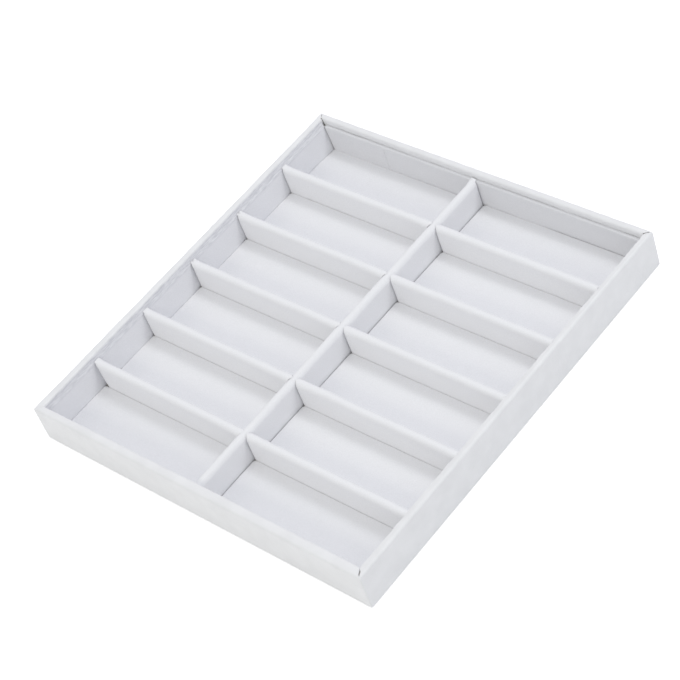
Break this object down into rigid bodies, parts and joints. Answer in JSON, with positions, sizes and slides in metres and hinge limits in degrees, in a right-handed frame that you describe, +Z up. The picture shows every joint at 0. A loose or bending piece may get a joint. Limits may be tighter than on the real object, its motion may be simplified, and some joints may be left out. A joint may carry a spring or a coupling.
{
  "type": "sunglasses storage tray",
  "caption": "Open rectangular tray in white leatherette with two columns of velour-lined compartments for folded sunglasses.",
  "frame": {"origin": "middle of the underside, on the surface that the tray stands on", "axes": "+Z up, +Y along the length towards the rear, +X across the width towards the right; the front is at -Y"},
  "size_m": [0.35, 0.375, 0.0375],
  "materials": {
    "leatherette": "satin",
    "velour": "matte",
    "greyboard": "matte",
    "card": "matte",
    "divider_padding": "matte",
    "underside_cloth": "matte"
  },
  "bodies": {
    "root": {"base_board": "greyboard", "underside_sheet": "underside_cloth", "wall_board_front": "greyboard", "wall_board_rear": "greyboard", "wall_board_left": "greyboard", "wall_board_right": "greyboard", "leatherette_wrap": "leatherette", "liner_card_front": "card", "liner_card_rear": "card", "liner_card_left": "card", "liner_card_right": "card", "liner_fabric_front": "velour", "liner_fabric_rear": "velour", "liner_fabric_left": "velour", "liner_fabric_right": "velour", "spine_core": "divider_padding", "spine_sleeve": "velour", "divider_core_left_1": "divider_padding", "divider_core_left_2": "divider_padding", "divider_core_left_3": "divider_padding", "divider_core_left_4": "divider_padding", "divider_core_left_5": "divider_padding", "divider_core_right_1": "divider_padding", "divider_core_right_2": "divider_padding", "divider_core_right_3": "divider_padding", "divider_core_right_4": "divider_padding", "divider_core_right_5": "divider_padding", "divider_sleeve_left_1": "velour", "divider_sleeve_left_2": "velour", "divider_sleeve_left_3": "velour", "divider_sleeve_left_4": "velour", "divider_sleeve_left_5": "velour", "divider_sleeve_right_1": "velour", "divider_sleeve_right_2": "velour", "divider_sleeve_right_3": "velour", "divider_sleeve_right_4": "velour", "divider_sleeve_right_5": "velour", "floor_card_left_1": "velour", "floor_card_left_2": "velour", "floor_card_left_3": "velour", "floor_card_left_4": "velour", "floor_card_left_5": "velour", "floor_card_left_6": "velour", "floor_card_right_1": "velour", "floor_card_right_2": "velour", "floor_card_right_3": "velour", "floor_card_right_4": "velour", "floor_card_right_5": "velour", "floor_card_right_6": "velour"}
  },
  "joints": []
}
